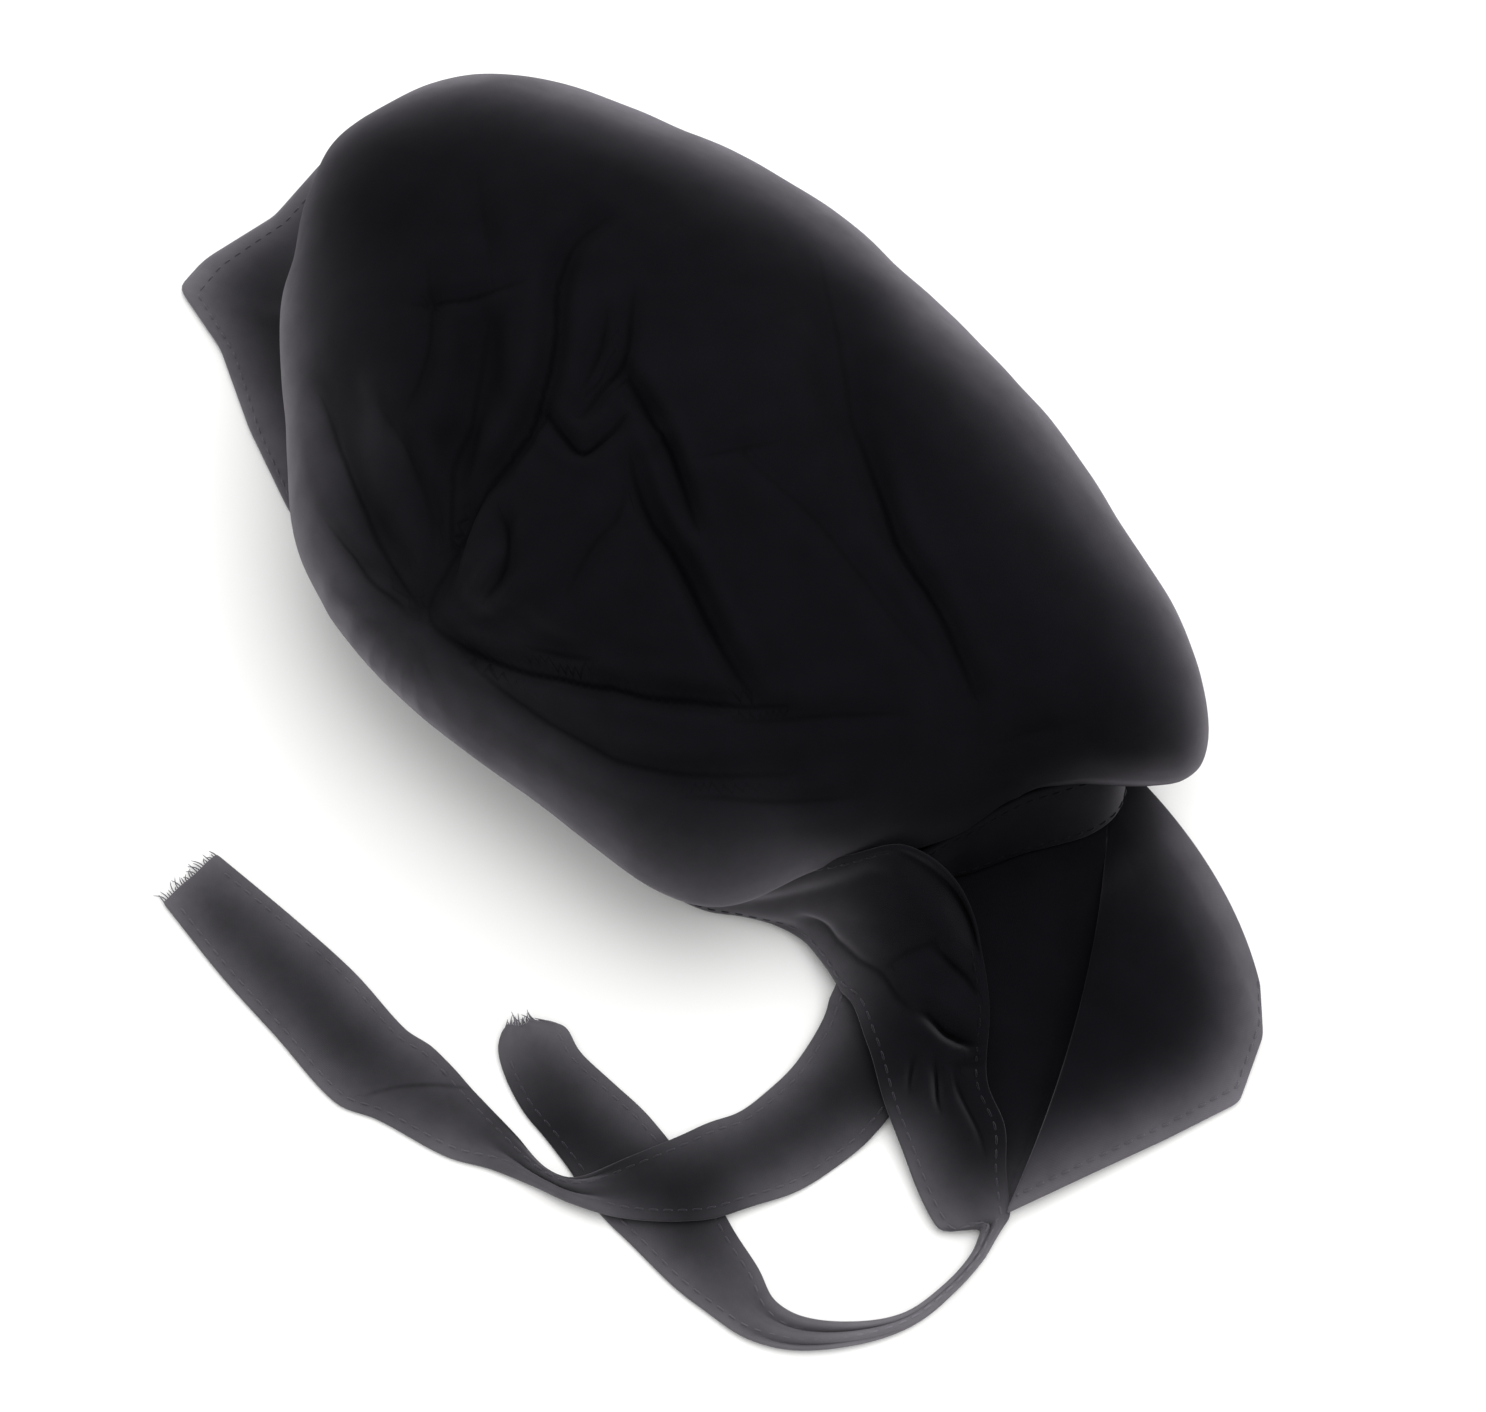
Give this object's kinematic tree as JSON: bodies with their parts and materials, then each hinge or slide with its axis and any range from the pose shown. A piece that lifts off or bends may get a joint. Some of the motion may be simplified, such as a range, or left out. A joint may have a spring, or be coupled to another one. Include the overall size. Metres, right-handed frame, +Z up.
{
  "type": "durag",
  "caption": "Soft black cloth durag lying as if just taken off: a slack hollow crown, a front band, long crossing ties and a short gathered cape.",
  "frame": {"origin": "middle of the whole durag's footprint, on the surface that it lies on", "axes": "+Z up from the surface; -Y towards the forehead band, +Y towards the cape; +X towards the wearer's left"},
  "size_m": [0.2394, 0.3526, 0.0804],
  "materials": {
    "crown_cloth": "near-black fine cotton, matt, paler where it turns away from the eye",
    "band_cloth": "near-black cotton, doubled and top-stitched, matt",
    "tie_cloth": "near-black cotton strap, hemmed, a little paler and softly sheened"
  },
  "bodies": {
    "root": {"crown": "crown_cloth", "brow_band": "band_cloth", "tie_left": "tie_cloth", "tie_right": "tie_cloth", "cape": "crown_cloth"}
  },
  "joints": []
}
